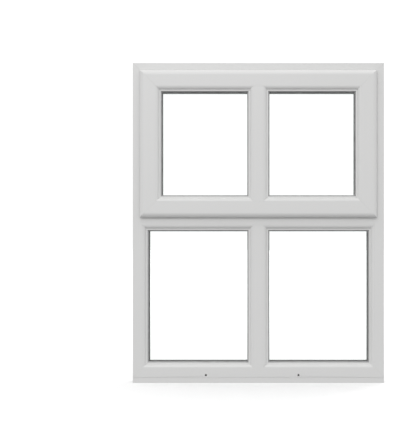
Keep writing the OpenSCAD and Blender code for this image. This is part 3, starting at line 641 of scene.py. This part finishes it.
def galvanised_finish():
    """Zinc coated steel: flat crystals of slightly different greys."""
    color = (0.56, 0.58, 0.59)
    material, tree, shader = new_finish("galvanised steel", color, Metallic=1.0)
    place = add(tree, "ShaderNodeTexCoord")
    crystals = add(tree, "ShaderNodeTexVoronoi", Scale=130.0)
    wire(tree, place.outputs["Object"], crystals.inputs["Vector"])
    spangle = add(tree, "ShaderNodeSeparateXYZ")
    wire(tree, crystals.outputs["Color"], spangle.inputs[0])
    tone = add(tree, "ShaderNodeMapRange", To_Min=0.78, To_Max=1.12)
    wire(tree, spangle.outputs["X"], tone.inputs["Value"])
    film = place_group(tree, GRAIN, Scale=300.0, Detail=4.0, Contrast=0.15)
    color_out = tinted(tree, color, [tone.outputs[0], film.outputs["Tone"]])
    wire(tree, color_out, shader.inputs["Base Color"])
    varied_roughness(tree, shader, spangle.outputs["Y"], 0.3, 0.52)
    raise_bump(tree, shader, [(film.outputs["Height"], 1.0)], 0.00004)
    return material


STAINLESS = (0.66, 0.655, 0.64)
stainless_standing = brushed_finish("stainless standing", STAINLESS, ALONG_Z)
stainless_lying = brushed_finish("stainless lying", STAINLESS, ALONG_X)
spacer_metal = brushed_finish("spacer aluminium", (0.62, 0.63, 0.64), (1.0, 1.0, 1.0))
brass = brushed_finish("shoe brass", (0.68, 0.5, 0.23), ALONG_Z, (0.3, 0.48))
galvanised = galvanised_finish()

lying_metal = ("lock_bar", "lock_faceplate", "lock_keeps")
for name in nodes:
    if name.startswith("stay_shoe"):
        finish_piece(name, brass, shoe_edge)
    elif name.startswith("stay_"):
        finish_piece(name, stainless_standing, stay_edge)
    elif name in lying_metal:
        finish_piece(name, stainless_lying, lock_edge)
    elif name.endswith(("_steel", "_screws")) or name in ("lock_gearbox", "handle_spindle"):
        finish_piece(name, galvanised)
    elif name.endswith("_spacers"):
        finish_piece(name, spacer_metal)
print("finished the metal pieces")


# %% [markdown]
# ## Packers
# The glass stands on flat plastic packers, coloured by thickness so that a fitter can
# pick them by eye. They are rough moulded plastic.

# %% Packers
def moulded_finish(name, color, low, high):
    """Moulded plastic with a fine spark-eroded texture."""
    material, tree, shader = new_finish(name, color, IOR=1.5)
    texture = place_group(tree, GRAIN, Scale=1500.0, Detail=3.0, Contrast=0.12)
    cloud = place_group(tree, GRAIN, Scale=25.0, Detail=3.0, Contrast=0.08)
    color_out = tinted(tree, color, [texture.outputs["Tone"], cloud.outputs["Tone"]])
    wire(tree, color_out, shader.inputs["Base Color"])
    varied_roughness(tree, shader, cloud.outputs["Height"], low, high)
    raise_bump(tree, shader, [(texture.outputs["Height"], 1.0)], 0.00005)
    return material


packer_plastic = moulded_finish("packer plastic", (0.07, 0.16, 0.38), 0.45, 0.6)
button_plastic = moulded_finish("button plastic", (0.3, 0.3, 0.31), 0.35, 0.5)
powder_coat = moulded_finish("powder coat", (0.8, 0.8, 0.79), 0.26, 0.38)
for name in ("fixed_packers", "sash_packers"):
    finish_piece(name, packer_plastic)
finish_piece("lock_button", button_plastic, button_edge)
finish_piece("handle_base", powder_coat, collar_edge)
print("finished packers, button and handle base")


# %% [markdown]
# ## The lever
# The lever is a zinc casting: a round neck, a round head with a button in it, and a
# grip that swells a little in the hand and thins towards its tip. Its outline changes
# all the way along, so it isn't an extrusion. It is built by sweeping an oval along a
# bent path, ring by ring, and the head is turned like a pot on a wheel. A subdivision
# modifier rounds the grip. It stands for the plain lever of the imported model.

# %% Measure the lever
lever_low, lever_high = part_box("handle_lever")
button_low, button_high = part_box("lock_button")
collar_low, collar_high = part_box("handle_base")
axis_z = (button_low[2] + button_high[2]) / 2
button_r = (button_high[2] - button_low[2]) / 2
head_r = axis_z - lever_low[2]
head_depth, neck_r, neck_sunk = 0.011, 0.0089, 0.009
button_clearance = 0.0005
bore_r = button_r + button_clearance
head_back = lever_high[1] - head_depth
grip_l = lever_high[2] - axis_z
grip_root = bore_r + 0.0005
print(f"lever {grip_l * 1000:.0f} mm long, head radius {head_r * 1000:.0f} mm")


# %% Turn the head and the neck
def turned(mesh, profile, steps=48):
    """Adds a closed round shape about the spindle; the profile is (radius, y)."""
    rings = []
    for radius, y in profile:
        rings.append([mesh.verts.new((radius * math.cos(turn), y,
                                      axis_z + radius * math.sin(turn)))
                      for turn in (2 * math.pi * step / steps for step in range(steps))])
    for first, second in zip(rings, rings[1:] + rings[:1]):
        for step in range(steps):
            after = (step + 1) % steps
            mesh.faces.new((first[step], first[after], second[after], second[step]))


def head_profile():
    """Neck, rounded shoulder, rounded rim, and a bore for the button."""
    rim, shoulder = 0.0016, 0.0032
    front = lever_high[1]
    neck_end = collar_high[1] - neck_sunk
    points = [(bore_r, head_back), (neck_r * 0.6, neck_end),
              (neck_r, neck_end), (neck_r, head_back - 0.004)]
    for step in range(7):
        turn = math.radians(90 * step / 6)
        points.append((head_r - shoulder + shoulder * math.sin(turn),
                       head_back + shoulder * (1 - math.cos(turn)) - 0.0004))
    for step in range(7):
        turn = math.radians(90 * step / 6)
        points.append((head_r - rim * (1 - math.cos(turn)),
                       front - rim + rim * math.sin(turn)))
    points += [(bore_r + 0.0012, front), (bore_r + 0.0004, front - 0.0003),
               (bore_r, front - 0.0011)]
    return points


# %% Sweep the grip
def oval(width, depth, steps=20, squareness=2.6):
    """Points of a rounded oval, flatter on its faces than an ellipse."""
    points = []
    for step in range(steps):
        turn = 2 * math.pi * step / steps
        c, s = math.cos(turn), math.sin(turn)
        points.append((width / 2 * math.copysign(abs(c) ** (2 / squareness), c),
                       depth / 2 * math.copysign(abs(s) ** (2 / squareness), s)))
    return points


grip_width, grip_width_lost = 0.0195, 0.0055
grip_depth, grip_depth_lost = 0.0098, 0.0022
grip_swell, grip_bow = 0.0018, 0.0012
tip_starts = 0.9


def grip_station(share):
    """Place, width and depth of the grip at a share of its length."""
    z = axis_z + grip_root + share * (grip_l - 0.0006 - grip_root)
    swell = math.sin(math.pi * min(1.0, share * 1.15)) * grip_swell
    width = grip_width - grip_width_lost * share + swell
    depth = grip_depth - grip_depth_lost * share
    y = lever_high[1] - 0.0058 - grip_bow * math.sin(math.pi * share) - 0.001 * share
    if share > tip_starts:
        fall = math.sqrt(max(0.03, 1 - ((share - tip_starts) / (1 - tip_starts)) ** 2))
        width *= fall
        depth *= fall
    return y, z, width, depth


def swept_grip(mesh, stations=22):
    """Adds the grip as a closed skin of oval rings."""
    rings = []
    for step in range(stations):
        share = 1 - (1 - step / (stations - 1)) ** 1.4
        y, z, width, depth = grip_station(share)
        rings.append([mesh.verts.new((a, y + b, z)) for a, b in oval(width, depth)])
    for first, second in zip(rings, rings[1:]):
        for step in range(len(first)):
            after = (step + 1) % len(first)
            mesh.faces.new((first[step], second[step], second[after], first[after]))
    mesh.faces.new(rings[0])
    mesh.faces.new(list(reversed(rings[-1])))


# %% Cast the lever
def cast_piece(name, build, material, smooth_levels=0):
    """A mesh object made by a build function, smooth shaded."""
    mesh = bmesh.new()
    build(mesh)
    bmesh.ops.recalc_face_normals(mesh, faces=mesh.faces)
    data = bpy.data.meshes.new(name)
    mesh.to_mesh(data)
    mesh.free()
    data.shade_smooth()
    data.materials.append(material)
    piece = bpy.data.objects.new(name, data)
    bpy.context.scene.collection.objects.link(piece)
    if smooth_levels:
        rounding = piece.modifiers.new("rounding", "SUBSURF")
        rounding.levels = smooth_levels
        rounding.render_levels = smooth_levels
    return piece


lever_head = cast_piece("lever_head", lambda mesh: turned(mesh, head_profile()),
                        powder_coat)
lever_grip = cast_piece("lever_grip", swept_grip, powder_coat, 1)
for piece in (lever_head, lever_grip):
    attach(piece, "handle")
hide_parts("handle_lever")
print("lever grip has", len(lever_grip.data.polygons), "faces before rounding")


# %% [markdown]
# ## Screw caps
# Two screws hold the handle, and small domed caps hide them. Each cap is turned: a low
# dome with a soft rim.

# %% Cap the handle's screws
screw_spacing = 0.043
cap_r, cap_rise, cap_skirt, cap_bevel = 0.0044, 0.0007, 0.0012, 0.0002
cap_seat = collar_low[1] + 0.008


def cap_dome(mesh, x):
    """A low dome on a short round skirt, about its own screw."""
    start = len(mesh.verts)
    profile = [(0.0001, cap_seat - cap_skirt), (cap_r, cap_seat - cap_skirt),
               (cap_r, cap_seat - cap_bevel)]
    for step in range(1, 7):
        turn = math.radians(90 * step / 6)
        profile.append((cap_r * math.cos(turn) + 0.0001,
                        cap_seat + cap_rise * math.sin(turn)))
    turned(mesh, profile, 28)
    mesh.verts.ensure_lookup_table()
    for vert in mesh.verts[start:]:
        vert.co.x += x


def both_caps(mesh):
    """A cap over each of the two screws."""
    for side in (-1, 1):
        cap_dome(mesh, side * screw_spacing / 2)


screw_caps = cast_piece("handle_screw_caps", both_caps, powder_coat)
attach(screw_caps, "sash")
print("caps on", screw_spacing * 1000, "mm centres")

# %% [markdown]
# ## Rivets of the friction stays
# Each joint of a stay is a stainless pin whose end is spun over into a low dome. The
# dome is turned: a short skirt, a rounded shoulder and a small dimple left by the tool.
# The places come from the boxes of the arms, whose ends are round about the pins.

# %% Turn a rivet head
def revolved(mesh, centre, facing, profile, steps=28, outline=None):
    """Adds rings about an axis along x; the profile is (radius, height, share of outline)."""
    rings = []
    for radius, height, share in profile:
        ring = []
        for step in range(steps):
            turn = 2 * math.pi * step / steps
            reach = radius
            if outline:
                reach = radius + share * (outline(turn) - radius)
            ring.append(mesh.verts.new((centre[0] + facing * height,
                                        centre[1] + reach * math.cos(turn),
                                        centre[2] + reach * math.sin(turn))))
        rings.append(ring)
    for first, second in zip(rings, rings[1:]):
        for step in range(steps):
            after = (step + 1) % steps
            mesh.faces.new((first[step], first[after], second[after], second[step]))
    mesh.faces.new(rings[0])
    mesh.faces.new(rings[-1])


RIVET_DOME = [(0.0042, 0.0, 0), (0.0042, 0.0002, 0), (0.0037, 0.0007, 0),
              (0.0027, 0.001, 0), (0.0016, 0.00105, 0), (0.0012, 0.0008, 0),
              (0.0005, 0.00065, 0)]


def strip_ends(name):
    """Heights of the two pins of an arm, and the depth of its middle."""
    low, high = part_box(name)
    half_width = (high[1] - low[1]) / 2
    return low[2] + half_width, high[2] - half_width, low[1] + half_width


# %% Set the rivets on every stay
def rivet(name, side, x, y, z, body):
    """One rivet head, facing the middle of the window."""
    facing = 1 if side == "left" else -1
    piece = cast_piece(name, lambda mesh: revolved(mesh, (x, y, z), facing, RIVET_DOME),
                       stainless_standing)
    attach(piece, body)


rivet_count = 0
for side in ("left", "right"):
    pin_b, _, pin_y = strip_ends(f"stay_long_arm_{side}")
    pin_g, pin_s, _ = strip_ends(f"stay_link_{side}")
    inner = 1 if side == "left" else 0
    faces_x = [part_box(name)[inner][0] for name in
               (f"stay_track_{side}", f"stay_long_arm_{side}", f"stay_shoe_{side}")]
    rivet(f"rivet_track_{side}", side, faces_x[0], pin_y, pin_b, "root")
    rivet(f"rivet_link_{side}", side, faces_x[1], pin_y, pin_g, f"long_arm_{side}")
    rivet(f"rivet_shoe_{side}", side, faces_x[2], pin_y, pin_s, f"shoe_{side}")
    rivet_count += 3
print("rivets:", rivet_count)

# %% [markdown]
# ## Screw heads
# The tracks are held by countersunk screws with a cross recess. Each head is a low dome
# whose inner rings take the outline of a cross and drop into the recess, so that light
# and shade show it as they do on a real screw.

# %% Countersunk heads with a cross recess
def cross(turn, length=0.0017, half_width=0.0004):
    """Reach of a cross-shaped outline in one direction."""
    c, s = max(abs(math.cos(turn)), 1e-6), max(abs(math.sin(turn)), 1e-6)
    return max(min(length / c, half_width / s), min(length / s, half_width / c))


SCREW_DOME = [(0.0033, 0.0, 0), (0.0031, 0.00015, 0), (0.0025, 0.0003, 0),
              (0.0022, 0.00034, 0.3), (0.0018, 0.00036, 1), (0.0018, 0.0, 1),
              (0.0005, -0.0001, 0)]


def screw_heads(name, side, x, y, heights, body):
    """A row of screw heads at one depth, facing the middle of the window."""
    facing = 1 if side == "left" else -1

    def build(mesh):
        for z in heights:
            revolved(mesh, (x, y, z), facing, SCREW_DOME, 32, cross)
    piece = cast_piece(name, build, stainless_standing)
    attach(piece, body)


TRACK_SCREW_UP = (0.04, 0.116, 0.2165)
track_floor_t = 0.0015
for side in ("left", "right"):
    track_low, track_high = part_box(f"stay_track_{side}")
    outer = 0 if side == "left" else 1
    facing = 1 if side == "left" else -1
    floor_x = (track_low, track_high)[outer][0] + facing * track_floor_t
    mid_y = (track_low[1] + track_high[1]) / 2
    heights = [track_low[2] + up for up in TRACK_SCREW_UP]
    screw_heads(f"track_screw_heads_{side}", side, floor_x, mid_y, heights, "root")
print("track screws:", [round(z, 3) for z in heights])
